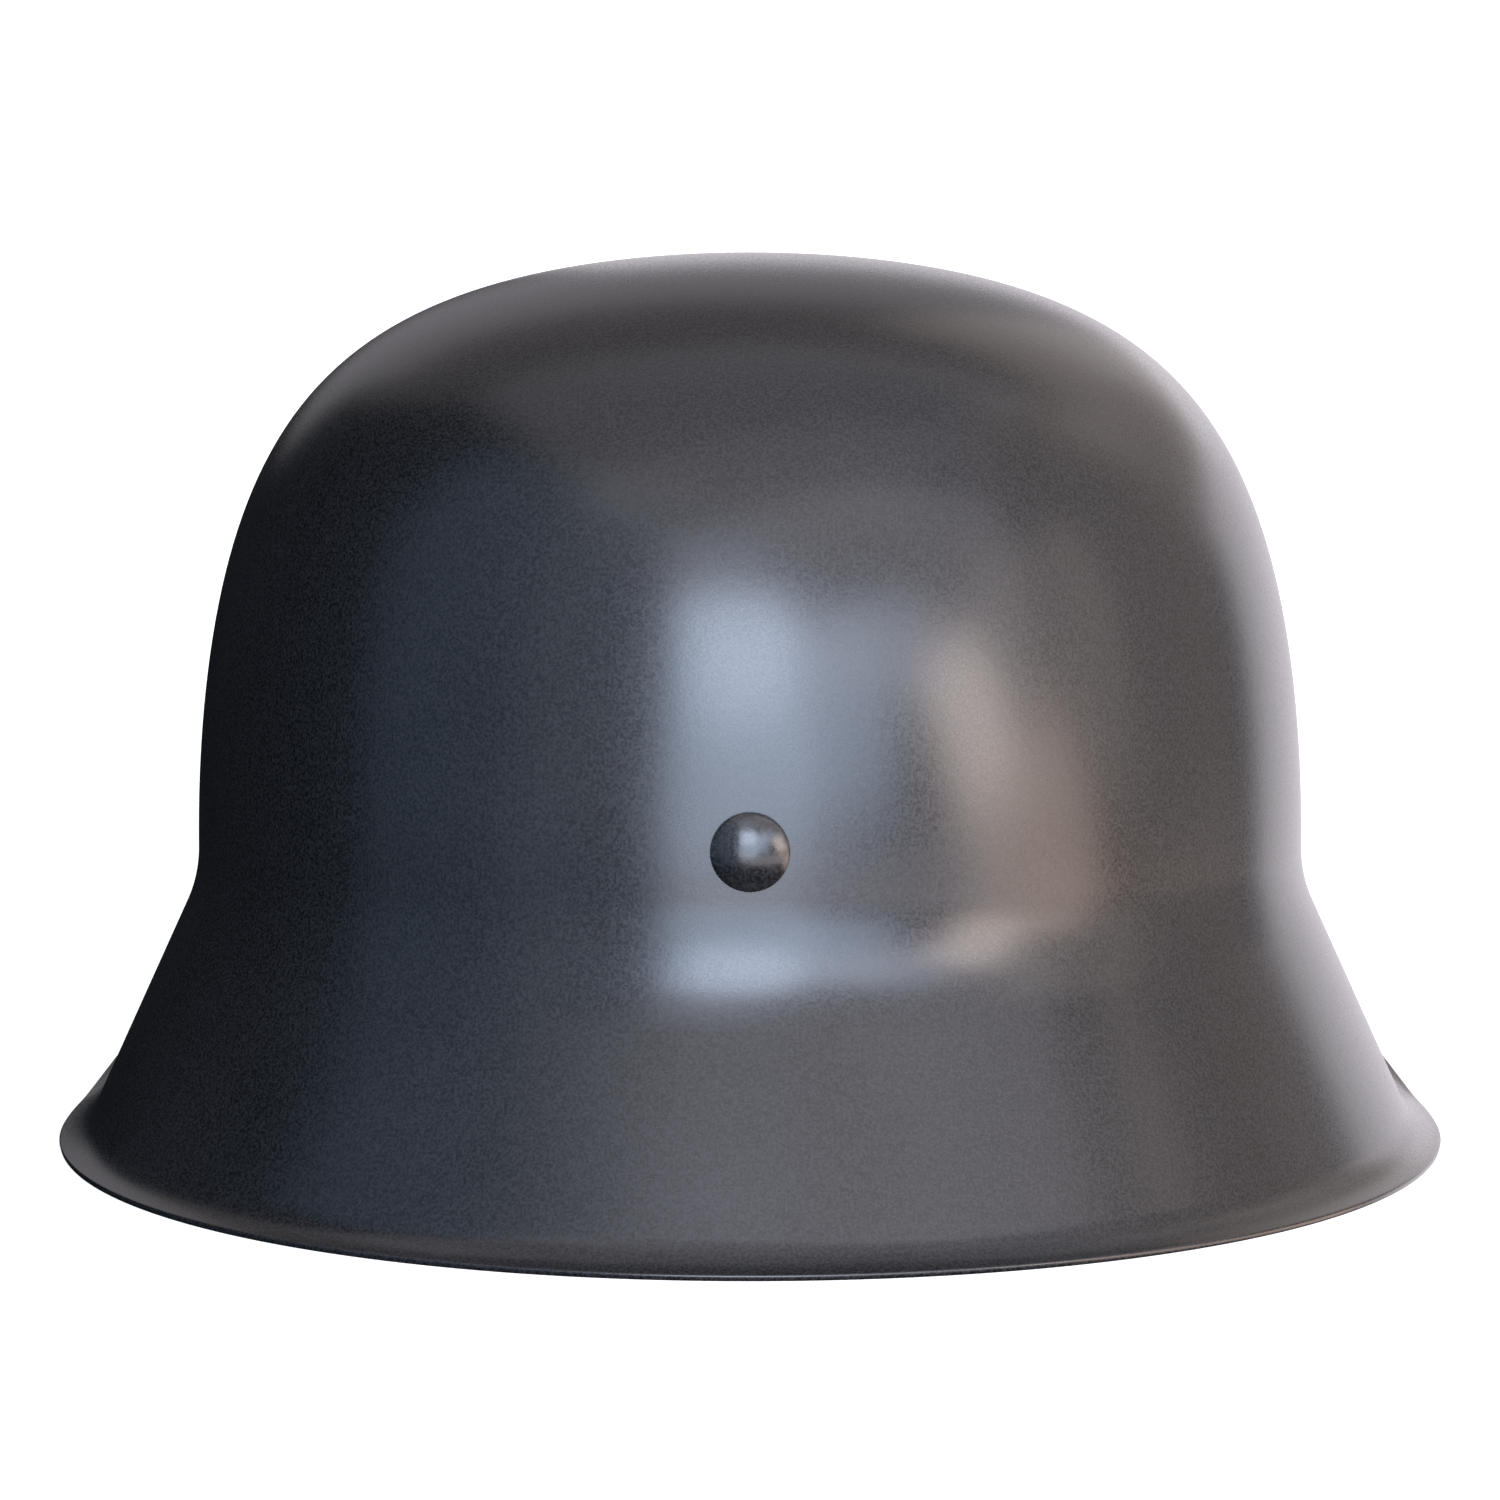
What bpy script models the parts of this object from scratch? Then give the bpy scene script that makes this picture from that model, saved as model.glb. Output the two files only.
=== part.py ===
"""A steel helmet with a flared neck guard and a short peak: one pressed shell and its three liner rivets.

Metres, +Z up. The rim stands on Z = 0, the peak points along -Y and the neck guard along +Y, and the origin is
midway between their edges. The shell is worked out round the dome's axis, a few millimetres behind that.
A bearing is an angle round this axis in degrees: 0 at the neck, 90 at the left ear and 180 at the brow.
"""

import math
from collections import namedtuple

import bmesh
import bpy
from mathutils import Matrix, Vector

MM = 0.001

# Overall sizes of the shell, on its outer face
SHEET = 1.2 * MM
HEIGHT = 155.0 * MM
DOME_HALF_WIDTH = 97.0 * MM
DOME_NECK_REACH = 108.0 * MM
DOME_BROW_REACH = 108.0 * MM

# Rim: the lip that the sheet flares into, and how high it hangs over the surface that the helmet stands on
LIP_RADIUS = 9.5 * MM
LIP_END_SLOPE = 78.0
PEAK_LIFT = 21.0 * MM
TEMPLE_LIFT = 26.0 * MM
STEP_FOOT_BEARING = 100.0
STEP_TOP_BEARING = 132.0
STANDING_LAND_DEPTH = 0.2 * MM

# Press profiles. bulge (where the dome is widest), crease (where the flare starts) and fillet (the radius
# between dome and flare) are shares of HEIGHT; fullness squares the dome's shoulders; slope is the flare's
# angle from the vertical, in degrees.
Profile = namedtuple("Profile", "bulge crease fillet fullness slope")
NECK = Profile(bulge=0.420, crease=0.366, fillet=0.245, fullness=0.045, slope=30.0)
EAR = Profile(bulge=0.338, crease=0.335, fillet=0.162, fullness=0.048, slope=24.5)
BROW = Profile(bulge=0.500, crease=0.455, fillet=0.210, fullness=0.040, slope=48.0)

# Stamped vents, one above each ear
VENT_BEARING = 106.0
VENT_ABOVE_CREASE = 41.0 * MM
VENT_HOLE_RADIUS = 2.5 * MM
VENT_COLLAR_RADIUS = 6.0 * MM
VENT_COLLAR_RISE = 1.5 * MM
VENT_DIMPLE_RADIUS = 4.6 * MM

# Liner rivets: domed split pins, one at the neck and one beside each temple
RIVET_BEARINGS = {"rivet_neck": 0.0, "rivet_brow_left": 142.0, "rivet_brow_right": -142.0}
RIVET_ABOVE_CREASE = 7.8 * MM
RIVET_HEAD_RADIUS = 6.45 * MM
RIVET_HEAD_CROWN = 2.1 * MM
RIVET_HEAD_EDGE = 0.45 * MM
RIVET_HEAD_DISH = 0.25 * MM
RIVET_SHANK_RADIUS = 2.3 * MM
RIVET_LEG_REACH = 12.0 * MM
RIVET_LEG_WIDTH = 4.0 * MM
RIVET_LEG_THICKNESS = 0.9 * MM
RIVET_SLIT = 0.5 * MM

# Clearances. FACET_SAG is how far the flat facets inside may lie proud of the curved wall, and LEG_DEPTH is how
# deep under the outer face the rivets' legs start.
HOLE_CLEARANCE = 0.35 * MM
SEAT_CLEARANCE = 0.3 * MM
FACET_SAG = 0.2 * MM
LEG_DEPTH = SHEET + SEAT_CLEARANCE + FACET_SAG

# How finely the solids are faceted
ROUND_STEPS = 80
DOME_STEPS = 14
FILLET_STEPS = 4
FLARE_STEPS = 2
LIP_STEPS = 4
LATHE_STEPS = 24
HEAD_STEPS = 4
LEG_STEPS = 6

BISECTIONS = 48
TANGENT_STEP = 0.5 * MM
CUTTER_REACH = 8.0 * MM

PAINT_COLOUR = (0.055, 0.057, 0.062, 1.0)
SHELL_ROUGHNESS = 0.42
RIVET_ROUGHNESS = 0.38


def smooth_step(share):
    """0 below 0, 1 above 1, and an S-curve between them."""
    share = min(1.0, max(0.0, share))
    return share * share * (3.0 - 2.0 * share)


def blended(column, bearing):
    """A column of the press profiles at a bearing: the ear's value turns into the neck's or the brow's."""
    turn = math.cos(math.radians(bearing))
    end = NECK if turn >= 0.0 else BROW
    ear = getattr(EAR, column)
    return ear + (getattr(end, column) - ear) * turn * turn


def dome_reach(bearing):
    """The dome's plan radius at its widest level: half an ellipse to the neck and half of one to the brow."""
    angle = math.radians(bearing)
    end_reach = DOME_NECK_REACH if math.cos(angle) >= 0.0 else DOME_BROW_REACH
    across = end_reach * math.sin(angle)
    along = DOME_HALF_WIDTH * math.cos(angle)
    return DOME_HALF_WIDTH * end_reach / math.hypot(across, along)


def dome_point(bearing, turn):
    """Reach and height on the dome, turn radians down from the crown; the widest level is at a quarter turn."""
    fullness = blended("fullness", bearing)
    bulge = blended("bulge", bearing) * HEIGHT
    reach = dome_reach(bearing) * (math.sin(turn) + fullness * math.sin(3.0 * turn)) / (1.0 - fullness)
    rise = (HEIGHT - bulge) * (math.cos(turn) - fullness * math.cos(3.0 * turn)) / (1.0 - fullness)
    return reach, bulge + rise


def dome_slope(bearing, turn):
    """The dome's angle from the vertical, in radians: positive where it spreads on its way down."""
    fullness = blended("fullness", bearing)
    rise = HEIGHT * (1.0 - blended("bulge", bearing))
    outward = dome_reach(bearing) * (math.cos(turn) + 3.0 * fullness * math.cos(3.0 * turn))
    downward = rise * (math.sin(turn) - 3.0 * fullness * math.sin(3.0 * turn))
    return math.atan2(outward, downward)


def dome_turn_at(bearing, height):
    """The turn down from the crown at which the dome passes a height."""
    above, below = 0.0, 0.75 * math.pi
    for _ in range(BISECTIONS):
        middle = (above + below) / 2.0
        if dome_point(bearing, middle)[1] > height:
            above = middle
        else:
            below = middle
    return (above + below) / 2.0


def rim_lift(bearing):
    """How high the rim hangs: 0 round the neck and ears, then a step up to the temples and the peak."""
    step = (abs(bearing) - STEP_FOOT_BEARING) / (STEP_TOP_BEARING - STEP_FOOT_BEARING)
    forward = max(0.0, -math.cos(math.radians(bearing))) ** 2
    return smooth_step(step) * (TEMPLE_LIFT + (PEAK_LIFT - TEMPLE_LIFT) * forward)


def arc(start, radius, from_slope, to_slope, steps):
    """Points of a concave arc that leaves start at one slope from the vertical and ends at another."""
    reach, height = start
    points = []
    for step in range(1, steps + 1):
        slope = from_slope + (to_slope - from_slope) * step / steps
        out = radius * (math.cos(from_slope) - math.cos(slope))
        down = radius * (math.sin(slope) - math.sin(from_slope))
        points.append((reach + out, height - down))
    return points


def meridian(bearing):
    """Reach and height of the outer face from the crown to the rim's edge: dome, fillet, flare and lip."""
    crease_turn = dome_turn_at(bearing, blended("crease", bearing) * HEIGHT)
    points = [dome_point(bearing, crease_turn * step / DOME_STEPS) for step in range(DOME_STEPS + 1)]

    slope = math.radians(blended("slope", bearing))
    fillet = blended("fillet", bearing) * HEIGHT
    points += arc(points[-1], fillet, dome_slope(bearing, crease_turn), slope, FILLET_STEPS)

    lip_end = math.radians(LIP_END_SLOPE)
    edge_height = rim_lift(bearing) + SHEET * math.sin(lip_end) - STANDING_LAND_DEPTH
    lip_drop = LIP_RADIUS * (math.sin(lip_end) - math.sin(slope))
    reach, height = points[-1]
    drop = height - lip_drop - edge_height
    for step in range(1, FLARE_STEPS + 1):
        share = step / FLARE_STEPS
        points.append((reach + drop * math.tan(slope) * share, height - drop * share))
    return points + arc(points[-1], LIP_RADIUS, slope, lip_end, LIP_STEPS)


def place(bearing, reach, height):
    """The point at a bearing, a reach from the dome's axis and a height."""
    angle = math.radians(bearing)
    return Vector((reach * math.sin(angle), reach * math.cos(angle), height))


def above_crease(bearing, distance):
    """The height of a point that lies a distance above the crease at a bearing."""
    return blended("crease", bearing) * HEIGHT + distance


def face_place(bearing, height):
    """The point of the outer face at a bearing and a height, on the dome or on the fillet under its crease."""
    drop = above_crease(bearing, 0.0) - height
    if drop <= 0.0:
        return place(bearing, *dome_point(bearing, dome_turn_at(bearing, height)))
    crease_turn = dome_turn_at(bearing, height + drop)
    start = dome_slope(bearing, crease_turn)
    fillet = blended("fillet", bearing) * HEIGHT
    slope = math.asin(math.sin(start) + drop / fillet)
    flare = fillet * (math.cos(start) - math.cos(slope))
    return place(bearing, dome_point(bearing, crease_turn)[0] + flare, height)


def face_frame(bearing, height):
    """A matrix on the outer face: X runs level along it, Y runs up it and Z points out of it."""
    swing = math.degrees(TANGENT_STEP / dome_reach(bearing))
    along = face_place(bearing - swing, height) - face_place(bearing + swing, height)
    up = face_place(bearing, height + TANGENT_STEP) - face_place(bearing, height - TANGENT_STEP)
    out = along.cross(up).normalized()
    along.normalize()
    frame = Matrix((along, out.cross(along), out)).transposed().to_4x4()
    frame.translation = face_place(bearing, height)
    return frame


def vent_frame(sign):
    """Where a vent is stamped: sign is 1 on the left and -1 on the right."""
    return face_frame(sign * VENT_BEARING, above_crease(VENT_BEARING, VENT_ABOVE_CREASE))


def rivet_frame(bearing):
    """Where the rivet at a bearing sits on the outer face."""
    return face_frame(bearing, above_crease(bearing, RIVET_ABOVE_CREASE))


def add_object(name, mesh_data, parent):
    """A bmesh made into an object of the scene, with its faces shaded smooth."""
    mesh = bpy.data.meshes.new(name)
    mesh_data.to_mesh(mesh)
    mesh_data.free()
    mesh.shade_smooth()
    mesh.set_sharp_from_angle(angle=math.radians(40.0))
    obj = bpy.data.objects.new(name, mesh)
    bpy.context.scene.collection.objects.link(obj)
    obj.parent = parent
    return obj


def add_boolean(obj, name, operation, shapes):
    """Joins (shape, frame) pairs to an object, or cuts it with them, in one step."""
    mesh = bpy.data.meshes.new(name)
    gathered = bmesh.new()
    for shape, frame in shapes:
        shape.transform(frame)
        shape.to_mesh(mesh)
        shape.free()
        gathered.from_mesh(mesh)
    gathered.to_mesh(mesh)
    gathered.free()
    tool = bpy.data.objects.new(name, mesh)
    bpy.context.scene.collection.objects.link(tool)
    tool.parent = obj.parent
    tool.hide_render = True
    tool.display_type = "WIRE"
    modifier = obj.modifiers.new(name, "BOOLEAN")
    modifier.operation = operation
    modifier.object = tool


def lathe(outline):
    """A solid turned about Z from an outline of (radius, height) points, whose ends lie on the axis."""
    turned = bmesh.new()
    verts = [turned.verts.new((radius, 0.0, height)) for radius, height in outline]
    edges = [turned.edges.new(pair) for pair in zip(verts, verts[1:])]
    bmesh.ops.spin(
        turned,
        geom=verts + edges,
        axis=(0.0, 0.0, 1.0),
        angle=2.0 * math.pi,
        steps=LATHE_STEPS,
        use_merge=True,
    )
    bmesh.ops.remove_doubles(turned, verts=turned.verts, dist=0.001 * MM)
    bmesh.ops.recalc_face_normals(turned, faces=turned.faces)
    return turned


def bar(length, width, thickness, cuts):
    """A bar along X, cut across its length into equal pieces, with its outer face on Z = 0."""
    solid = bmesh.new()
    bmesh.ops.create_cube(solid, size=1.0)
    bmesh.ops.scale(solid, vec=(length, width, thickness), verts=solid.verts)
    bmesh.ops.translate(solid, vec=(0.0, 0.0, -thickness / 2.0), verts=solid.verts)
    for cut in range(1, cuts):
        bmesh.ops.bisect_plane(
            solid,
            geom=solid.verts[:] + solid.edges[:] + solid.faces[:],
            plane_co=(length * (cut / cuts - 0.5), 0.0, 0.0),
            plane_no=(1.0, 0.0, 0.0),
        )
    return solid


def flat_blank():
    """The sheet before it is pressed: a disc whose rings are the levels of a meridian, one unit apart."""
    levels = DOME_STEPS + FILLET_STEPS + FLARE_STEPS + LIP_STEPS
    blank = bmesh.new()
    verts = [blank.verts.new((0.0, float(level), 0.0)) for level in range(levels + 1)]
    edges = [blank.edges.new(pair) for pair in zip(verts, verts[1:])]
    bmesh.ops.spin(
        blank,
        geom=verts + edges,
        axis=(0.0, 0.0, 1.0),
        angle=2.0 * math.pi,
        steps=ROUND_STEPS,
        use_merge=True,
    )
    bmesh.ops.remove_doubles(blank, verts=blank.verts, dist=0.001)
    return blank


def press(blank):
    """Moves each vertex of the blank to where the press leaves it."""
    meridians = {}
    for vert in blank.verts:
        level = round(math.hypot(vert.co.x, vert.co.y))
        bearing = round(math.degrees(math.atan2(vert.co.x, vert.co.y)), 4)
        if bearing not in meridians:
            meridians[bearing] = meridian(bearing)
        vert.co = place(bearing, *meridians[bearing][level])
    bmesh.ops.recalc_face_normals(blank, faces=blank.faces)
    if blank.faces[0].normal.z < 0.0:
        bmesh.ops.reverse_faces(blank, faces=blank.faces)


def vent_collar():
    """The raised ring round a vent, sunk into the sheet that it is stamped from."""
    sunk = -SHEET / 2.0
    crest = (VENT_HOLE_RADIUS + VENT_COLLAR_RADIUS) / 2.0
    shoulder = (VENT_COLLAR_RADIUS - crest) * 0.6
    return lathe(
        [
            (0.0, sunk),
            (VENT_COLLAR_RADIUS, sunk),
            (VENT_COLLAR_RADIUS, 0.0),
            (crest + shoulder, VENT_COLLAR_RISE * 0.7),
            (crest, VENT_COLLAR_RISE),
            (crest - shoulder, VENT_COLLAR_RISE * 0.8),
            (0.0, VENT_COLLAR_RISE * 0.8),
        ]
    )


def vent_punch():
    """What the punch takes out: the vent's hole, which widens into a dimple inside the shell.

    It is turned half a facet, so that its edges pass between those of the collar.
    """
    punch = lathe(
        [
            (0.0, CUTTER_REACH),
            (VENT_HOLE_RADIUS, CUTTER_REACH),
            (VENT_HOLE_RADIUS, 0.0),
            (VENT_DIMPLE_RADIUS, -SHEET - FACET_SAG),
            (VENT_DIMPLE_RADIUS, -CUTTER_REACH),
            (0.0, -CUTTER_REACH),
        ]
    )
    punch.transform(Matrix.Rotation(math.pi / LATHE_STEPS, 4, "Z"))
    return punch


def rivet_drill():
    """The drill for a rivet's shank."""
    radius = RIVET_SHANK_RADIUS + HOLE_CLEARANCE
    return lathe([(0.0, CUTTER_REACH), (radius, CUTTER_REACH), (radius, -CUTTER_REACH), (0.0, -CUTTER_REACH)])


def standing_cut():
    """The block that dresses the rim's lowest corner flat where the helmet stands."""
    block = bmesh.new()
    bmesh.ops.create_cube(block, size=1.0)
    side = 4.0 * max(DOME_NECK_REACH, DOME_BROW_REACH, DOME_HALF_WIDTH, HEIGHT)
    bmesh.ops.scale(block, vec=(side, side, CUTTER_REACH), verts=block.verts)
    bmesh.ops.translate(block, vec=(0.0, 0.0, -CUTTER_REACH / 2.0), verts=block.verts)
    return block


def build_shell(parent):
    """The shell: pressed from one sheet, with stamped vents, drilled for its rivets and dressed to stand."""
    blank = flat_blank()
    press(blank)
    shell = add_object("shell", blank, parent)

    wall = shell.modifiers.new("Sheet", "SOLIDIFY")
    wall.thickness = SHEET
    wall.offset = -1.0
    wall.use_even_offset = True

    vents = [vent_frame(sign) for sign in (1.0, -1.0)]
    rivets = [rivet_frame(bearing) for bearing in RIVET_BEARINGS.values()]
    add_boolean(shell, "vent_collars", "UNION", [(vent_collar(), frame) for frame in vents])
    add_boolean(shell, "vent_punches", "DIFFERENCE", [(vent_punch(), frame) for frame in vents])
    add_boolean(shell, "rivet_drills", "DIFFERENCE", [(rivet_drill(), frame) for frame in rivets])
    add_boolean(shell, "standing_cut", "DIFFERENCE", [(standing_cut(), Matrix())])
    return shell


def head_seat(frame):
    """How far over the frame's plane a rivet's head starts, to clear the face all round its edge."""
    swell = 0.0
    for step in range(LATHE_STEPS):
        angle = 2.0 * math.pi * step / LATHE_STEPS
        edge = frame @ Vector((RIVET_HEAD_RADIUS * math.cos(angle), RIVET_HEAD_RADIUS * math.sin(angle), 0.0))
        face = face_place(math.degrees(math.atan2(edge.x, edge.y)), edge.z)
        swell = max(swell, (frame.inverted() @ face).z)
    return SEAT_CLEARANCE + swell


def rivet_pin(seat):
    """A rivet's domed and dished head, with its shank down to the legs."""
    inner_end = -LEG_DEPTH - RIVET_LEG_THICKNESS / 2.0
    dome_radius = (RIVET_HEAD_RADIUS**2 + RIVET_HEAD_CROWN**2) / (2.0 * RIVET_HEAD_CROWN)
    half_angle = math.asin(RIVET_HEAD_RADIUS / dome_radius)
    edge_top = seat + RIVET_HEAD_EDGE
    outline = [(0.0, edge_top + RIVET_HEAD_CROWN)]
    for step in range(1, HEAD_STEPS + 1):
        angle = half_angle * step / HEAD_STEPS
        sag = dome_radius * (1.0 - math.cos(angle))
        outline.append((dome_radius * math.sin(angle), edge_top + RIVET_HEAD_CROWN - sag))
    outline += [
        (RIVET_HEAD_RADIUS, seat),
        (RIVET_SHANK_RADIUS, seat + RIVET_HEAD_DISH),
        (RIVET_SHANK_RADIUS, inner_end),
        (0.0, inner_end),
    ]
    return lathe(outline)


def rivet_legs(bearing, height):
    """Both legs in one bar, bent to follow the wall inside."""
    legs = bar(2.0 * RIVET_LEG_REACH, RIVET_LEG_WIDTH, RIVET_LEG_THICKNESS, 2 * LEG_STEPS)
    for vert in legs.verts:
        swing = math.degrees(vert.co.x / dome_reach(bearing))
        wall = face_frame(bearing - swing, height + vert.co.y)
        vert.co = wall @ Vector((0.0, 0.0, vert.co.z - LEG_DEPTH))
    bmesh.ops.recalc_face_normals(legs, faces=legs.faces)
    return legs


def rivet_slit():
    """The slot between a rivet's two legs, as deep as they are thick."""
    slot = bmesh.new()
    bmesh.ops.create_cube(slot, size=1.0)
    bmesh.ops.scale(slot, vec=(RIVET_SLIT, 2.0 * RIVET_LEG_WIDTH, CUTTER_REACH), verts=slot.verts)
    bmesh.ops.translate(slot, vec=(0.0, 0.0, -LEG_DEPTH - CUTTER_REACH / 2.0), verts=slot.verts)
    return slot


def build_rivet(name, bearing, parent):
    """A split-pin rivet: its head outside the shell, its shank through it and its legs bent apart inside."""
    frame = rivet_frame(bearing)
    rivet = add_object(name, rivet_pin(head_seat(frame)), parent)
    rivet.matrix_local = frame
    add_boolean(rivet, f"{name}_legs", "UNION", [(rivet_legs(bearing, frame.translation.z), Matrix())])
    add_boolean(rivet, f"{name}_slit", "DIFFERENCE", [(rivet_slit(), frame)])
    return rivet


def painted_steel(name, colour, roughness):
    """Steel under a satin field paint."""
    material = bpy.data.materials.new(name)
    material.use_nodes = True
    surface = material.node_tree.nodes["Principled BSDF"]
    surface.inputs["Base Color"].default_value = colour
    surface.inputs["Roughness"].default_value = roughness
    surface.inputs["Metallic"].default_value = 0.0
    return material


def main():
    for obj in list(bpy.data.objects):
        bpy.data.objects.remove(obj)
    helmet = bpy.data.objects.new("helmet", None)
    bpy.context.scene.collection.objects.link(helmet)
    neck_rim_reach = meridian(0.0)[-1][0]
    peak_rim_reach = meridian(180.0)[-1][0]
    helmet.location.y = (peak_rim_reach - neck_rim_reach) / 2.0

    build_shell(helmet).data.materials.append(painted_steel("shell_paint", PAINT_COLOUR, SHELL_ROUGHNESS))
    rivet_paint = painted_steel("rivet_paint", PAINT_COLOUR, RIVET_ROUGHNESS)
    for name, bearing in RIVET_BEARINGS.items():
        build_rivet(name, bearing, helmet).data.materials.append(rivet_paint)


main()
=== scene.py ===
"""A pressed steel helmet with its field paint: the fine surface that goes round the helmet's solid model.

The file is laid out as an add-on. Metres, +Z up. The rim stands on Z = 0, the peak points along -Y and the
neck guard along +Y. The shell is worked out round the dome's axis. A bearing is an angle round this axis in
degrees: 0 at the neck, 90 at the left ear and 180 at the brow.
"""

import math
from collections import namedtuple

import bmesh
import bpy
from bpy.props import FloatProperty, FloatVectorProperty, IntProperty, PointerProperty
from mathutils import Matrix, Quaternion, Vector


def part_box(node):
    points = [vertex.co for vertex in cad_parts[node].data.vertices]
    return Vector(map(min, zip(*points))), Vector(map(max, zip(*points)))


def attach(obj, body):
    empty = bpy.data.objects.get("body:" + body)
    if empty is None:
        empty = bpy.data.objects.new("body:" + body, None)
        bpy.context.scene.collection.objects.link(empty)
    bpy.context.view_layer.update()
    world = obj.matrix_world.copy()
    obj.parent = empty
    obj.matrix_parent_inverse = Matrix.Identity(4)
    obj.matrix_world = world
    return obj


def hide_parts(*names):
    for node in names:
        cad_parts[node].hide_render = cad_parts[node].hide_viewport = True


bl_info = {
    "name": "Steel helmet",
    "version": (1, 0, 0),
    "blender": (4, 5, 0),
    "location": "3D View > Sidebar > Helmet",
    "description": "Presses a steel helmet shell, turns its liner rivets, paints them and sets up a studio",
    "category": "Add Mesh",
}

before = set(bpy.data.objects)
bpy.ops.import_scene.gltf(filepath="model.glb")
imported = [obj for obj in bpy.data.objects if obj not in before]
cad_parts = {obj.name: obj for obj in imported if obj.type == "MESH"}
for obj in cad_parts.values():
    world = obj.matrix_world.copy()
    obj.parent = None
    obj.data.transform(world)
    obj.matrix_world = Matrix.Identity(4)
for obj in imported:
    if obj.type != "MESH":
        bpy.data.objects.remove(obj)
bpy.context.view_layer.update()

MM = 0.001
FULL_TURN = 2.0 * math.pi
LOWEST_TURN = 0.75 * math.pi
BISECTIONS = 40
TANGENT_STEP = 0.5 * MM
MERGE_DISTANCE = 0.001 * MM
BLANK_MERGE = 0.001

# Two faces that meet at more than SHARP_ANGLE show an edge; the brinks of a rivet's legs meet at more than
# BRINK_ANGLE.
SHARP_ANGLE = math.radians(50.0)
BRINK_ANGLE = math.radians(80.0)

# Press profiles. bulge (where the dome is widest), crease (where the flare starts) and fillet (the radius
# between dome and flare) are shares of the height; fullness squares the dome's shoulders; slope is the
# flare's angle from the vertical, in degrees.
Profile = namedtuple("Profile", "bulge crease fillet fullness slope")
NECK = Profile(bulge=0.420, crease=0.366, fillet=0.245, fullness=0.045, slope=30.0)
EAR = Profile(bulge=0.338, crease=0.335, fillet=0.162, fullness=0.048, slope=24.5)
BROW = Profile(bulge=0.500, crease=0.455, fillet=0.210, fullness=0.040, slope=48.0)

VENT_BEARINGS = (106.0, -106.0)
RIVET_BEARINGS = {"rivet_neck": 0.0, "rivet_brow_left": 142.0, "rivet_brow_right": -142.0}

# Cuts in the sheet. The window's depth, a vent's upright throat and the cut corners are shares of the
# sheet's thickness, and the ring of faces round a drilled hole is a share of the hole.
WINDOW_DEPTH = 6.0
THROAT = 0.25
CUT_CORNER = 0.15
DRILL_RING = 1.8
FOOT_STEPS = 4

# Rounded edges of the rivets and the rim: HEAD_CORNER is a share of the head's upright edge, LEG_END of a
# leg's width and LEG_BRINK of its thickness.
HEAD_CORNER = 0.35
LEG_END = 0.35
LEG_END_STEPS = 6
LEG_BRINK = 0.15
LEG_BRINK_STEPS = 2
RIM_STEPS = 3

# Roughness of the paint, from the smoothest to the roughest spots of its grain, and its patches' width.
SHELL_ROUGHNESS = (0.24, 0.31)
RIVET_ROUGHNESS = (0.21, 0.28)
PATCH_WIDTH = 45.0 * MM

# Where shader nodes stand in the editor.
NODE_COLUMNS = 7
NODE_START = (-1600.0, 300.0)
NODE_GAP = (220.0, -260.0)

# The stage: the faces round it, the floor's finish, the room's faint light and the camera's sensor in
# millimetres.
STAGE_STEPS = 96
FLOOR_ROUGHNESS = 0.9
FLOOR_GLOSS = 0.1
ROOM_COLOUR = (0.80, 0.95, 1.20)
ROOM_LIGHT = 0.008
SENSOR_WIDTH = 36.0
BLACK = (0.0, 0.0, 0.0)
WHITE = (1.0, 1.0, 1.0)


def length(name, description, default):
    """A property that holds a size in metres."""
    return FloatProperty(
        name=name, description=description, default=default, min=0.0, unit="LENGTH", precision=5
    )


def angle(name, description, degrees):
    """A property that holds an angle, given in degrees and kept in radians."""
    return FloatProperty(
        name=name, description=description, default=math.radians(degrees), unit="ROTATION"
    )


def share(name, description, default):
    """A property between 0 and 1."""
    return FloatProperty(
        name=name, description=description, default=default, min=0.0, max=1.0, subtype="FACTOR"
    )


def number(name, description, default):
    """A property that holds a plain number."""
    return FloatProperty(name=name, description=description, default=default, min=0.0)


def count(name, description, default):
    """A property that holds how many times something is repeated."""
    return IntProperty(name=name, description=description, default=default, min=3)


def colour(name, description, default):
    """A property that holds a linear colour."""
    return FloatVectorProperty(
        name=name, description=description, default=default, size=3, min=0.0, subtype="COLOR"
    )


def opaque(linear):
    """A linear colour with its alpha."""
    return (*linear, 1.0)


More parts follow.
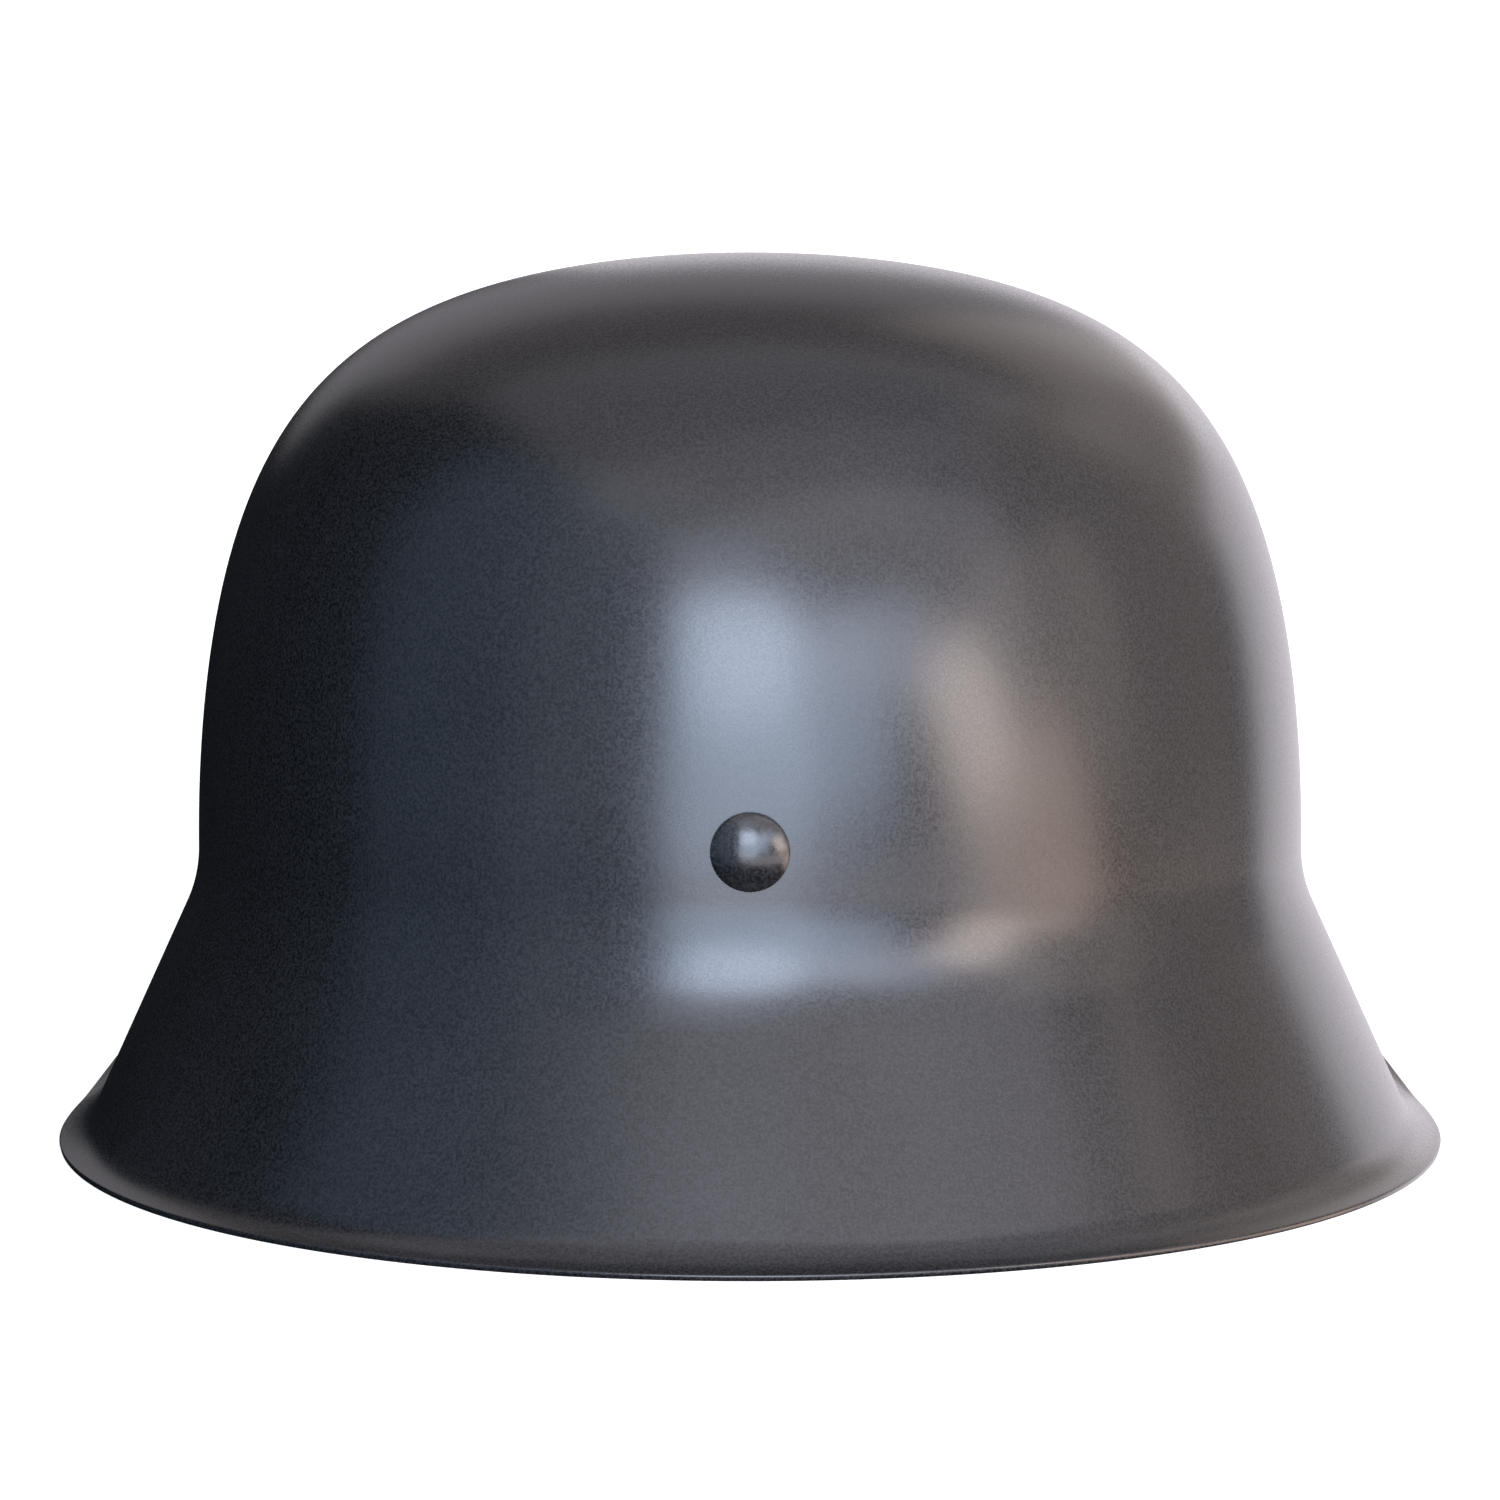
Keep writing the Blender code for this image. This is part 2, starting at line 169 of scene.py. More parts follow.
class ShellSizes(bpy.types.PropertyGroup):
    """Sizes of the pressed shell, on its outer face."""

    sheet: length("Sheet", "Thickness of the steel", 1.2 * MM)
    height: length("Height", "From the standing surface to the crown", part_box("shell")[1].z)
    half_width: length("Half width", "From the dome's axis to its widest side", 97.0 * MM)
    neck_reach: length("Neck reach", "From the dome's axis to the back of the dome", 108.0 * MM)
    brow_reach: length("Brow reach", "From the dome's axis to the front of the dome", 108.0 * MM)
    lip_radius: length("Lip radius", "Radius that the rim is flared with", 9.5 * MM)
    lip_end: angle("Lip end", "Angle from the vertical at which the lip ends", 78.0)
    peak_lift: length("Peak lift", "How high the peak's edge hangs", 21.0 * MM)
    temple_lift: length("Temple lift", "How high the rim hangs at the temples", 26.0 * MM)
    step_foot: angle("Step foot", "Bearing at which the rim starts to rise", 100.0)
    step_top: angle("Step top", "Bearing at which the rim has risen", 132.0)
    standing_land: length("Standing land", "How deep the lowest corner is dressed flat", 0.2 * MM)
    edge_round: length("Edge round", "How far the paint rounds the rim's two edges", 0.28 * MM)
    meridians: count("Meridians", "Columns of faces round the shell", 288)
    dome_rows: count("Dome rows", "Rows of faces from the crown to the crease", 62)
    fillet_rows: count("Fillet rows", "Rows of faces in the fillet", 12)
    flare_rows: count("Flare rows", "Rows of faces down the flare", 6)
    lip_rows: count("Lip rows", "Rows of faces in the lip", 12)


class VentSizes(bpy.types.PropertyGroup):
    """Sizes of the two stamped air vents."""

    above_crease: length("Above crease", "Height of the vents over the crease", 41.0 * MM)
    hole_radius: length("Hole radius", "Radius of the air hole", 2.5 * MM)
    collar_radius: length("Collar radius", "Outer radius of the raised collar", 6.0 * MM)
    collar_rise: length("Collar rise", "How far the collar stands proud", 1.5 * MM)
    foot_fillet: length("Foot fillet", "Fillet between the collar and the shell", 0.6 * MM)
    dimple_radius: length("Dimple radius", "Radius of the dimple inside the shell", 4.6 * MM)
    collar_steps: count("Collar steps", "Rings of faces across the collar", 10)


class RivetSizes(bpy.types.PropertyGroup):
    """Sizes of the liner rivets."""

    above_crease: length("Above crease", "Height of the rivets over the crease", 7.8 * MM)
    head_radius: length("Head radius", "Radius of the domed head", 6.45 * MM)
    crown: length("Crown", "Height of the head's dome over its edge", 2.1 * MM)
    edge: length("Edge", "Height of the head's upright edge", 0.45 * MM)
    dish: length("Dish", "Hollow under the head", 0.25 * MM)
    shank_radius: length("Shank radius", "Radius of the shank", 2.3 * MM)
    leg_reach: length("Leg reach", "From the rivet's axis to a leg's end", 12.0 * MM)
    leg_width: length("Leg width", "Width of a leg", 4.0 * MM)
    leg_thickness: length("Leg thickness", "Thickness of a leg", 0.9 * MM)
    slit: length("Slit", "Gap between the two legs", 0.5 * MM)
    hole_clearance: length("Hole clearance", "Gap round the shank in its hole", 0.35 * MM)
    seat_clearance: length("Seat clearance", "Gap between the rivet and the shell", 0.3 * MM)
    wall_sag: length("Wall sag", "How far the legs keep off the curved wall", 0.2 * MM)
    turn_steps: count("Turn steps", "Faces round a rivet", 64)
    crown_steps: count("Crown steps", "Rings of faces on the head's dome", 12)
    leg_steps: count("Leg steps", "Bends along each leg", 12)


class PaintLooks(bpy.types.PropertyGroup):
    """Colours and grain of the field paint."""

    dark_tone: colour("Dark tone", "Slate-grey paint in the hollows of its grain", (0.0045, 0.0048, 0.0056))
    pale_tone: colour("Pale tone", "Slate-grey paint on the tips of its grain", (0.0290, 0.0295, 0.0315))
    # The paler edge tone below is partly polish wear and partly a painted highlight along the edges.
    wear_and_highlight_tone: colour("Worn tone", "Paint that handling has polished at an edge", (0.060, 0.060, 0.062))
    patchiness: share("Patchiness", "How much the tone follows wide patches and not the grain", 0.20)
    gloss_level: share("Gloss level", "Strength of the paint's reflection", 1.0)
    grain_size: length("Grain size", "Width of the powdery grain", 0.46 * MM)
    grain_depth: length("Grain depth", "Depth of the powdery grain", 0.008 * MM)
    peel_size: length("Peel size", "Width of the orange-peel waves", 2.0 * MM)
    peel_depth: length("Peel depth", "Depth of the orange-peel waves", 0.010 * MM)
    dent_size: length("Press wave size", "Width of the slow waves that the press leaves", 32.0 * MM)
    dent_depth: length("Press wave depth", "Depth of the slow waves that the press leaves", 0.030 * MM)


class StudioLooks(bpy.types.PropertyGroup):
    """Camera, floor and light."""

    camera_distance: length("Camera distance", "From the aim to the camera", 1216.3 * MM)
    camera_elevation: angle("Camera elevation", "How far the camera looks down", 7.06)
    aim_height: length("Aim height", "Height of the point that the camera aims at", 67.7 * MM)
    focal_length: number("Focal length", "Lens in millimetres", 165.5)
    floor_size: length("Floor size", "Radius of the floor and of the backdrop", 6.0)
    floor_tone: colour("Floor tone", "Pale floor", (0.80, 0.80, 0.80))
    glow_start: length("Glow start", "How far out the floor starts to turn white", 0.18)
    glow_end: length("Glow end", "How far out the floor is as white as the backdrop", 1.2)
    near_glow: number("Near glow", "The floor's own light at the helmet", 0.75)
    far_glow: number("Far glow", "The light of the backdrop, and of the floor there", 1.05)


def smooth_step(value):
    """0 below 0, 1 above 1, and an S-curve between them."""
    value = min(1.0, max(0.0, value))
    return value * value * (3.0 - 2.0 * value)


def arc(start, radius, from_slope, to_slope, steps):
    """Points of a concave arc that leaves start at one slope from the vertical and ends at another."""
    reach, height = start
    points = []
    for step in range(1, steps + 1):
        slope = from_slope + (to_slope - from_slope) * step / steps
        out = radius * (math.cos(from_slope) - math.cos(slope))
        down = radius * (math.sin(slope) - math.sin(from_slope))
        points.append((reach + out, height - down))
    return points


class Press:
    """The press's form: where the outer face lies at any bearing and height."""

    def __init__(self, sizes):
        self.sizes = sizes
        self.axis_y = 0.0
        self.axis_y = (self.meridian(180.0)[-1][0] - self.meridian(0.0)[-1][0]) / 2.0

    def blended(self, column, bearing):
        """A column of the profiles at a bearing: the ear's value turns into the neck's or the brow's."""
        turn = math.cos(math.radians(bearing))
        end = NECK if turn >= 0.0 else BROW
        ear = getattr(EAR, column)
        return ear + (getattr(end, column) - ear) * turn * turn

    def dome_reach(self, bearing):
        """The dome's plan radius where it is widest: half an ellipse to the neck and half to the brow."""
        turn = math.radians(bearing)
        end_reach = self.sizes.neck_reach if math.cos(turn) >= 0.0 else self.sizes.brow_reach
        across = end_reach * math.sin(turn)
        along = self.sizes.half_width * math.cos(turn)
        return self.sizes.half_width * end_reach / math.hypot(across, along)

    def dome_point(self, bearing, turn):
        """Reach and height on the dome, turn radians down from the crown."""
        fullness = self.blended("fullness", bearing)
        bulge = self.blended("bulge", bearing) * self.sizes.height
        across = math.sin(turn) + fullness * math.sin(3.0 * turn)
        upward = math.cos(turn) - fullness * math.cos(3.0 * turn)
        reach = self.dome_reach(bearing) * across / (1.0 - fullness)
        rise = (self.sizes.height - bulge) * upward / (1.0 - fullness)
        return reach, bulge + rise

    def dome_slope(self, bearing, turn):
        """The dome's angle from the vertical, in radians: positive where it spreads on its way down."""
        fullness = self.blended("fullness", bearing)
        rise = self.sizes.height * (1.0 - self.blended("bulge", bearing))
        outward = self.dome_reach(bearing) * (math.cos(turn) + 3.0 * fullness * math.cos(3.0 * turn))
        downward = rise * (math.sin(turn) - 3.0 * fullness * math.sin(3.0 * turn))
        return math.atan2(outward, downward)

    def dome_turn_at(self, bearing, height):
        """The turn down from the crown at which the dome passes a height."""
        above, below = 0.0, LOWEST_TURN
        for _ in range(BISECTIONS):
            middle = (above + below) / 2.0
            if self.dome_point(bearing, middle)[1] > height:
                above = middle
            else:
                below = middle
        return (above + below) / 2.0

    def rim_lift(self, bearing):
        """How high the rim hangs: 0 round the neck and ears, then a step up to the temples and the peak."""
        foot = math.degrees(self.sizes.step_foot)
        top = math.degrees(self.sizes.step_top)
        forward = max(0.0, -math.cos(math.radians(bearing))) ** 2
        lift = self.sizes.temple_lift + (self.sizes.peak_lift - self.sizes.temple_lift) * forward
        return smooth_step((abs(bearing) - foot) / (top - foot)) * lift

    def meridian(self, bearing):
        """Reach and height of the outer face from crown to rim: dome, fillet, flare and lip."""
        sizes = self.sizes
        crease_turn = self.dome_turn_at(bearing, self.blended("crease", bearing) * sizes.height)
        points = []
        for row in range(sizes.dome_rows + 1):
            points.append(self.dome_point(bearing, crease_turn * row / sizes.dome_rows))

        slope = math.radians(self.blended("slope", bearing))
        fillet = self.blended("fillet", bearing) * sizes.height
        points += arc(points[-1], fillet, self.dome_slope(bearing, crease_turn), slope, sizes.fillet_rows)

        edge_height = self.rim_lift(bearing) + sizes.sheet * math.sin(sizes.lip_end) - sizes.standing_land
        lip_drop = sizes.lip_radius * (math.sin(sizes.lip_end) - math.sin(slope))
        reach, height = points[-1]
        drop = height - lip_drop - edge_height
        for row in range(1, sizes.flare_rows + 1):
            part = row / sizes.flare_rows
            points.append((reach + drop * math.tan(slope) * part, height - drop * part))
        return points + arc(points[-1], sizes.lip_radius, slope, sizes.lip_end, sizes.lip_rows)

    def place(self, bearing, reach, height):
        """The point at a bearing, a reach from the dome's axis and a height."""
        turn = math.radians(bearing)
        return Vector((reach * math.sin(turn), self.axis_y + reach * math.cos(turn), height))

    def bearing_of(self, point):
        """The bearing at which a point lies."""
        return math.degrees(math.atan2(point.x, point.y - self.axis_y))

    def above_crease(self, bearing, distance):
        """The height of a point that lies a distance above the crease at a bearing."""
        return self.blended("crease", bearing) * self.sizes.height + distance

    def face_place(self, bearing, height):
        """The point of the outer face at a bearing and a height, on the dome or on the fillet under it."""
        drop = self.above_crease(bearing, 0.0) - height
        if drop <= 0.0:
            return self.place(bearing, *self.dome_point(bearing, self.dome_turn_at(bearing, height)))
        crease_turn = self.dome_turn_at(bearing, height + drop)
        start = self.dome_slope(bearing, crease_turn)
        fillet = self.blended("fillet", bearing) * self.sizes.height
        slope = math.asin(math.sin(start) + drop / fillet)
        flare = fillet * (math.cos(start) - math.cos(slope))
        return self.place(bearing, self.dome_point(bearing, crease_turn)[0] + flare, height)

    def face_frame(self, bearing, height):
        """A matrix on the outer face: X runs level along it, Y runs up it and Z points out of it."""
        swing = math.degrees(TANGENT_STEP / self.dome_reach(bearing))
        along = self.face_place(bearing - swing, height) - self.face_place(bearing + swing, height)
        above = self.face_place(bearing, height + TANGENT_STEP)
        below = self.face_place(bearing, height - TANGENT_STEP)
        out = along.cross(above - below).normalized()
        along.normalize()
        face = Matrix((along, out.cross(along), out)).transposed().to_4x4()
        face.translation = self.face_place(bearing, height)
        return face

    def on_face(self, face, x, y, rise):
        """The point that lies x along a face frame and y up it, and rises over the curved face there."""
        flat = face @ Vector((x, y, 0.0))
        local = self.face_frame(self.bearing_of(flat), flat.z)
        return local @ Vector((0.0, 0.0, rise))


def shade(mesh):
    """Shades a mesh's round faces smooth and leaves its sharp edges."""
    mesh.shade_smooth()
    mesh.set_sharp_from_angle(angle=SHARP_ANGLE)


def object_of(name, shape):
    """A bmesh made into an object of the scene, with its round faces shaded smooth."""
    mesh = bpy.data.meshes.new(name)
    shape.to_mesh(mesh)
    shape.free()
    shade(mesh)
    obj = bpy.data.objects.new(name, mesh)
    bpy.context.scene.collection.objects.link(obj)
    return obj


def spun(points, steps, merge):
    """A bmesh turned about Z from a line of points, with what meets on the axis merged."""
    shape = bmesh.new()
    verts = [shape.verts.new(point) for point in points]
    edges = [shape.edges.new(pair) for pair in zip(verts, verts[1:])]
    bmesh.ops.spin(
        shape, geom=verts + edges, axis=(0.0, 0.0, 1.0), angle=FULL_TURN, steps=steps, use_merge=True
    )
    bmesh.ops.remove_doubles(shape, verts=shape.verts, dist=merge)
    return shape


def turned(outline, steps):
    """A solid turned about Z from an outline of (radius, height) points, whose ends lie on the axis."""
    shape = spun([(radius, 0.0, height) for radius, height in outline], steps, MERGE_DISTANCE)
    bmesh.ops.recalc_face_normals(shape, faces=shape.faces)
    return shape


def flat_blank(sizes):
    """The sheet before it is pressed: a disc whose rings are the rows of a meridian, one unit apart."""
    rows = sizes.dome_rows + sizes.fillet_rows + sizes.flare_rows + sizes.lip_rows
    return spun([(0.0, float(row), 0.0) for row in range(rows + 1)], sizes.meridians, BLANK_MERGE)


def press_blank(blank, press):
    """Moves each vertex of the blank to where the press leaves it."""
    meridians = {}
    for vert in blank.verts:
        row = round(math.hypot(vert.co.x, vert.co.y))
        bearing = round(math.degrees(math.atan2(vert.co.x, vert.co.y)), 3)
        if bearing not in meridians:
            meridians[bearing] = press.meridian(bearing)
        vert.co = press.place(bearing, *meridians[bearing][row])
    bmesh.ops.recalc_face_normals(blank, faces=blank.faces)
    if sum(face.normal.z * face.calc_area() for face in blank.faces) < 0.0:
        bmesh.ops.reverse_faces(blank, faces=blank.faces)


def bevelled(shape, edges, offset, steps):
    """Rounds some edges of a bmesh."""
    bmesh.ops.bevel(
        shape, geom=edges, offset=offset, segments=steps, profile=0.5, affect="EDGES", material=-1
    )


def round_edges(shape, sharpest, offset, steps):
    """Rounds every edge of a bmesh whose faces meet at more than an angle."""
    edges = [edge for edge in shape.edges if edge.calc_face_angle(0.0) > sharpest]
    bevelled(shape, edges, offset, steps)


def give_thickness(sheet, sizes):
    """Adds the inner face under the outer one, and the cut edge between them with its corners rounded."""
    sheet.normal_update()
    outer_rim = [edge for edge in sheet.edges if edge.is_boundary]
    copied = bmesh.ops.duplicate(sheet, geom=sheet.verts[:] + sheet.edges[:] + sheet.faces[:])
    inner = [item for item in copied["geom"] if isinstance(item, bmesh.types.BMVert)]
    inner_faces = [item for item in copied["geom"] if isinstance(item, bmesh.types.BMFace)]
    for vert in inner:
        vert.co -= vert.normal * sizes.sheet
    bmesh.ops.reverse_faces(sheet, faces=inner_faces)
    inner_rim = [edge for face in inner_faces for edge in face.edges if edge.is_boundary]
    bmesh.ops.bridge_loops(sheet, edges=outer_rim + inner_rim)
    bmesh.ops.recalc_face_normals(sheet, faces=sheet.faces)
    round_edges(sheet, SHARP_ANGLE, sizes.edge_round, RIM_STEPS)
    for vert in sheet.verts:
        vert.co.z = max(0.0, vert.co.z)


def stamp(sheet, press, face, reach, outline):
    """Cuts a window of the given reach in both faces of the sheet, and closes it by a ring drawn from
    outside to inside along an outline of (radius, rise) points."""
    to_face = face.inverted()
    depth = WINDOW_DEPTH * press.sizes.sheet
    near = set()
    for vert in sheet.verts:
        spot = to_face @ vert.co
        if math.hypot(spot.x, spot.y) < reach and abs(spot.z) < depth:
            near.add(vert)
    window = [item for item in sheet.faces if near.intersection(item.verts)]
    bmesh.ops.delete(sheet, geom=window, context="FACES")
    borders = [edge for edge in sheet.edges if edge.is_boundary]
    outside = []
    inside = []
    for edge in borders:
        middle = (edge.verts[0].co + edge.verts[1].co) / 2.0
        spot = to_face @ middle
        surface = to_face @ press.on_face(face, spot.x, spot.y, 0.0)
        (outside if spot.z > surface.z - press.sizes.sheet / 2.0 else inside).append(edge)
    loop = outside
    for radius, rise in outline:
        grown = bmesh.ops.extrude_edge_only(sheet, edges=loop)["geom"]
        loop = [item for item in grown if isinstance(item, bmesh.types.BMEdge)]
        for vert in (item for item in grown if isinstance(item, bmesh.types.BMVert)):
            spot = to_face @ vert.co
            turn = math.atan2(spot.y, spot.x)
            vert.co = press.on_face(face, radius * math.cos(turn), radius * math.sin(turn), rise)
    loop = [edge for edge in loop if edge.is_boundary]
    bmesh.ops.bridge_loops(sheet, edges=loop + inside)


def vent_outline(sizes, vent):
    """Radius and rise over the outer face, from the shell over a vent's collar and out inside its dimple."""
    crest = (vent.hole_radius + vent.collar_radius) / 2.0
    half = (vent.collar_radius - vent.hole_radius) / 2.0
    foot = vent.foot_fillet
    ring = vent.collar_radius + 2.0 * foot
    outline = [(ring, 0.0)]
    for step in range(FOOT_STEPS):
        turn = math.pi / 2.0 * step / FOOT_STEPS
        radius = vent.collar_radius + foot * (1.0 - math.sin(turn))
        outline.append((radius, foot * (1.0 - math.cos(turn))))
    start = math.asin(foot / vent.collar_rise)
    for step in range(vent.collar_steps + 1):
        turn = start + (math.pi - start) * step / vent.collar_steps
        outline.append((crest + half * math.cos(turn), vent.collar_rise * math.sin(turn)))
    corner = CUT_CORNER * sizes.sheet
    return outline + [
        (vent.hole_radius, -THROAT * sizes.sheet),
        (vent.dimple_radius - corner, -sizes.sheet + corner / 2.0),
        (vent.dimple_radius + corner, -sizes.sheet),
        (ring, -sizes.sheet),
    ]


def drill_outline(sizes, rivet):
    """Radius and rise over the outer face, from the shell down through a rivet's hole and out inside."""
    hole = rivet.shank_radius + rivet.hole_clearance
    corner = CUT_CORNER * sizes.sheet
    ring = DRILL_RING * hole
    return [
        (ring, 0.0),
        (hole + corner, 0.0),
        (hole, -corner),
        (hole, -sizes.sheet + corner),
        (hole + corner, -sizes.sheet),
        (ring, -sizes.sheet),
    ]


def build_shell(sizes, vent, rivet):
    """The shell: pressed from one sheet, with its vents stamped and its rivet holes drilled."""
    press = Press(sizes)
    sheet = flat_blank(sizes)
    press_blank(sheet, press)
    give_thickness(sheet, sizes)
    vent_ring = vent_outline(sizes, vent)
    for bearing in VENT_BEARINGS:
        face = press.face_frame(bearing, press.above_crease(bearing, vent.above_crease))
        stamp(sheet, press, face, vent_ring[0][0] + sizes.sheet, vent_ring)
    hole_ring = drill_outline(sizes, rivet)
    for bearing in RIVET_BEARINGS.values():
        face = press.face_frame(bearing, press.above_crease(bearing, rivet.above_crease))
        stamp(sheet, press, face, hole_ring[0][0] + sizes.sheet, hole_ring)
    bmesh.ops.recalc_face_normals(sheet, faces=sheet.faces)
    return object_of("helmet_shell", sheet)


def head_seat(press, rivet, face):
    """How far over the face frame a rivet's head starts, to clear the shell all round its edge."""
    swell = 0.0
    for step in range(rivet.turn_steps):
        turn = FULL_TURN * step / rivet.turn_steps
        spot = Vector((rivet.head_radius * math.cos(turn), rivet.head_radius * math.sin(turn), 0.0))
        edge = face @ spot
        surface = press.face_place(press.bearing_of(edge), edge.z)
        swell = max(swell, (face.inverted() @ surface).z)
    return rivet.seat_clearance + swell


def pin_outline(rivet, seat, shank_end):
    """Radius and height of a rivet's domed head with its dished underside, and of its shank."""
    ball = (rivet.head_radius**2 + rivet.crown**2) / (2.0 * rivet.crown)
    half_angle = math.asin(rivet.head_radius / ball)
    shoulder = seat + rivet.edge
    outline = []
    for step in range(rivet.crown_steps + 1):
        turn = half_angle * step / rivet.crown_steps
        outline.append((ball * math.sin(turn), shoulder + rivet.crown - ball * (1.0 - math.cos(turn))))
    corner = HEAD_CORNER * rivet.edge
    last_radius, last_height = outline.pop()
    # Three points round the head's upper brink and three its lower one.
    return outline + [
        (last_radius - corner, last_height + corner * math.tan(half_angle)),
        (last_radius - 0.3 * corner, last_height - 0.1 * corner),
        (last_radius, last_height - corner),
        (last_radius, seat + corner),
        (last_radius - 0.3 * corner, seat + 0.3 * corner),
        (last_radius - corner, seat),
        (rivet.shank_radius + corner, seat + rivet.dish),
        (rivet.shank_radius, seat + rivet.dish - corner),
        (rivet.shank_radius, shank_end + corner),
        (rivet.shank_radius - corner, shank_end),
        (0.0, shank_end),
    ]


def bent_legs(press, rivet, bearing, height, depth):
    """Both legs in one bar with rounded edges, bent to follow the wall inside."""
    legs = bmesh.new()
    bmesh.ops.create_cube(legs, size=1.0)
    size = (2.0 * rivet.leg_reach, rivet.leg_width, rivet.leg_thickness)
    bmesh.ops.scale(legs, vec=size, verts=legs.verts)
    bmesh.ops.translate(legs, vec=(0.0, 0.0, -rivet.leg_thickness / 2.0), verts=legs.verts)
    upright = [edge for edge in legs.edges if edge.verts[0].co.z != edge.verts[1].co.z]
    bevelled(legs, upright, LEG_END * rivet.leg_width, LEG_END_STEPS)
    round_edges(legs, BRINK_ANGLE, LEG_BRINK * rivet.leg_thickness, LEG_BRINK_STEPS)
    cuts = 2 * rivet.leg_steps
    for cut in range(1, cuts):
        bmesh.ops.bisect_plane(
            legs,
            geom=legs.verts[:] + legs.edges[:] + legs.faces[:],
            plane_co=(size[0] * (cut / cuts - 0.5), 0.0, 0.0),
            plane_no=(1.0, 0.0, 0.0),
        )
    for vert in legs.verts:
        swing = math.degrees(vert.co.x / press.dome_reach(bearing))
        wall = press.face_frame(bearing - swing, height + vert.co.y)
        vert.co = wall @ Vector((0.0, 0.0, vert.co.z - depth))
    bmesh.ops.recalc_face_normals(legs, faces=legs.faces)
    return legs


def leg_slit(rivet, face, depth):
    """The slot between a rivet's two legs, as deep as they are thick."""
    slot = bmesh.new()
    bmesh.ops.create_cube(slot, size=1.0)
    bmesh.ops.scale(slot, vec=(rivet.slit, 2.0 * rivet.leg_width, rivet.head_radius), verts=slot.verts)
    bmesh.ops.translate(slot, vec=(0.0, 0.0, -depth - rivet.head_radius / 2.0), verts=slot.verts)
    slot.transform(face)
    return slot


def combined(obj, operation, shape):
    """Joins a bmesh to an object, or cuts the object with it, and leaves one plain mesh."""
    tool = object_of("tool", shape)
    modifier = obj.modifiers.new(operation.title(), "BOOLEAN")
    modifier.operation = operation
    modifier.object = tool
    evaluated = obj.evaluated_get(bpy.context.evaluated_depsgraph_get())
    mesh = bpy.data.meshes.new_from_object(evaluated)
    obj.modifiers.clear()
    obj.data = mesh
    bpy.data.objects.remove(tool)


def build_rivet(press, rivet, name, bearing):
    """A split-pin rivet: its head outside the shell, its shank through it and its legs bent apart inside."""
    height = press.above_crease(bearing, rivet.above_crease)
    face = press.face_frame(bearing, height)
    depth = press.sizes.sheet + rivet.seat_clearance + rivet.wall_sag
    shank_end = -depth - rivet.leg_thickness / 2.0
    pin = turned(pin_outline(rivet, head_seat(press, rivet, face), shank_end), rivet.turn_steps)
    pin.transform(face)
    obj = object_of(f"fine_{name}", pin)
    combined(obj, "UNION", bent_legs(press, rivet, bearing, height, depth))
    combined(obj, "DIFFERENCE", leg_slit(rivet, face, depth))
    obj.data.name = obj.name
    shade(obj.data)
    return obj


class Nodes:
    """Shader nodes of a material or world, placed from left to right as they are made."""

    def __init__(self, owner):
        owner.use_nodes = True
        self.tree = owner.node_tree
        self.made = 0

    def add(self, kind, inputs=(), **settings):
        """A node of a kind, with settings, and with inputs that are values or the sockets that feed them."""
        node = self.tree.nodes.new(kind)
        row, column = divmod(self.made, NODE_COLUMNS)
        node.location = (NODE_START[0] + NODE_GAP[0] * column, NODE_START[1] + NODE_GAP[1] * row)
        self.made += 1
        for name, value in settings.items():
            setattr(node, name, value)
        for name, value in dict(inputs).items():
            self.feed(node.inputs[name], value)
        return node

    def feed(self, socket, value):
        """Links a socket to another one, or gives it a plain value."""
        if isinstance(value, bpy.types.NodeSocket):
            self.tree.links.new(value, socket)
        else:
            socket.default_value = value

    def noise(self, place, size, detail=2.0, roughness=0.5):
        """A noise whose blobs are as wide as size."""
        inputs = {"Vector": place, "Scale": 1.0 / size, "Detail": detail, "Roughness": roughness}
        return self.add("ShaderNodeTexNoise", inputs).outputs["Fac"]

    def remap(self, value, low, high, to_low=0.0, to_high=1.0, smooth=True):
        """A value between low and high turned into one between to_low and to_high."""
        inputs = {"Value": value, "From Min": low, "From Max": high, "To Min": to_low, "To Max": to_high}
        kind = "SMOOTHSTEP" if smooth else "LINEAR"
        return self.add("ShaderNodeMapRange", inputs, interpolation_type=kind).outputs["Result"]

    def mix(self, factor, first, second):
        """A colour between two colours."""
        node = self.add("ShaderNodeMix", {0: factor}, data_type="RGBA")
        self.feed(node.inputs[6], first)
        self.feed(node.inputs[7], second)
        return node.outputs[2]

    def math(self, operation, first, second=0.0):
        """One sum on one or two values."""
        return self.add("ShaderNodeMath", {0: first, 1: second}, operation=operation).outputs[0]

    def bump(self, height, depth, below=None):
        """Relief as deep as depth over the relief below it."""
        inputs = {"Height": height, "Distance": depth, "Strength": 1.0}
        if below is not None:
            inputs["Normal"] = below
        return self.add("ShaderNodeBump", inputs).outputs["Normal"]


